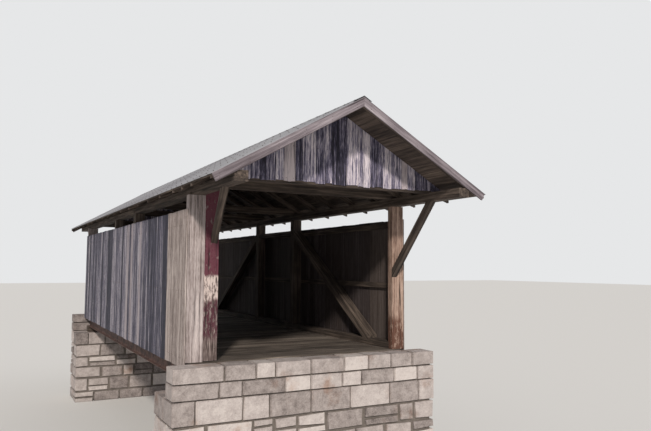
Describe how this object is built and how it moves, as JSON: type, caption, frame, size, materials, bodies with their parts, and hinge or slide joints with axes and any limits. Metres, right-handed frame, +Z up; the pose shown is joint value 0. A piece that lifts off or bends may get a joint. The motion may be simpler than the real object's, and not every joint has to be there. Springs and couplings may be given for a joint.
{
  "type": "timber covered bridge",
  "caption": "Short single-lane timber covered bridge with board siding, a ribbed metal roof reaching past both portals, steel beams under the deck and stone abutments.",
  "frame": {"origin": "middle of the plan, on the level where the two abutments stand", "axes": "+Y along the roadway to the rear portal, +X to the right-hand wall, +Z up"},
  "size_m": [4.77, 14.86, 6.5406],
  "materials": {
    "rubble_stone": "rough",
    "rusted_steel": "rusted",
    "galvanised_sheet": "weathered",
    "grey_siding": "weathered",
    "tan_boards": "weathered",
    "truss_timber": "rough sawn",
    "post_timber": "weathered",
    "roof_timber": "rough sawn",
    "deck_planks": "worn",
    "barge_wood": "weathered",
    "gable_boards": "weathered",
    "old_paint": "flaking paint"
  },
  "bodies": {
    "root": {"abutment_front": "rubble_stone", "abutment_rear": "rubble_stone", "barge_boards_front": "barge_wood", "barge_boards_rear": "barge_wood", "bottom_chord_left": "truss_timber", "bottom_chord_right": "truss_timber", "deck": "deck_planks", "end_boards_left": "tan_boards", "end_boards_right": "tan_boards", "gable_wall_front": "gable_boards", "gable_wall_rear": "gable_boards", "knee_braces_front": "truss_timber", "knee_braces_rear": "truss_timber", "main_brace_front_left": "truss_timber", "main_brace_front_right": "truss_timber", "main_brace_rear_left": "truss_timber", "main_brace_rear_right": "truss_timber", "painted_board": "old_paint", "portal_post_front_left": "post_timber", "portal_post_front_right": "post_timber", "portal_post_rear_left": "post_timber", "portal_post_rear_right": "post_timber", "queen_post_front_left": "truss_timber", "queen_post_front_right": "truss_timber", "queen_post_rear_left": "truss_timber", "queen_post_rear_right": "truss_timber", "rafters_left": "roof_timber", "rafters_right": "roof_timber", "ridge_cap": "galvanised_sheet", "roof_boards_left": "roof_timber", "roof_boards_right": "roof_timber", "roof_metal_left": "galvanised_sheet", "roof_metal_right": "galvanised_sheet", "siding_girts_left": "truss_timber", "siding_girts_right": "truss_timber", "siding_left": "grey_siding", "siding_right": "grey_siding", "sleepers": "truss_timber", "steel_beam_left": "rusted_steel", "steel_beam_right": "rusted_steel", "steel_beams_inner": "rusted_steel", "straining_beams": "truss_timber", "tie_beams": "roof_timber", "top_plate_left": "roof_timber", "top_plate_right": "roof_timber"}
  },
  "joints": []
}
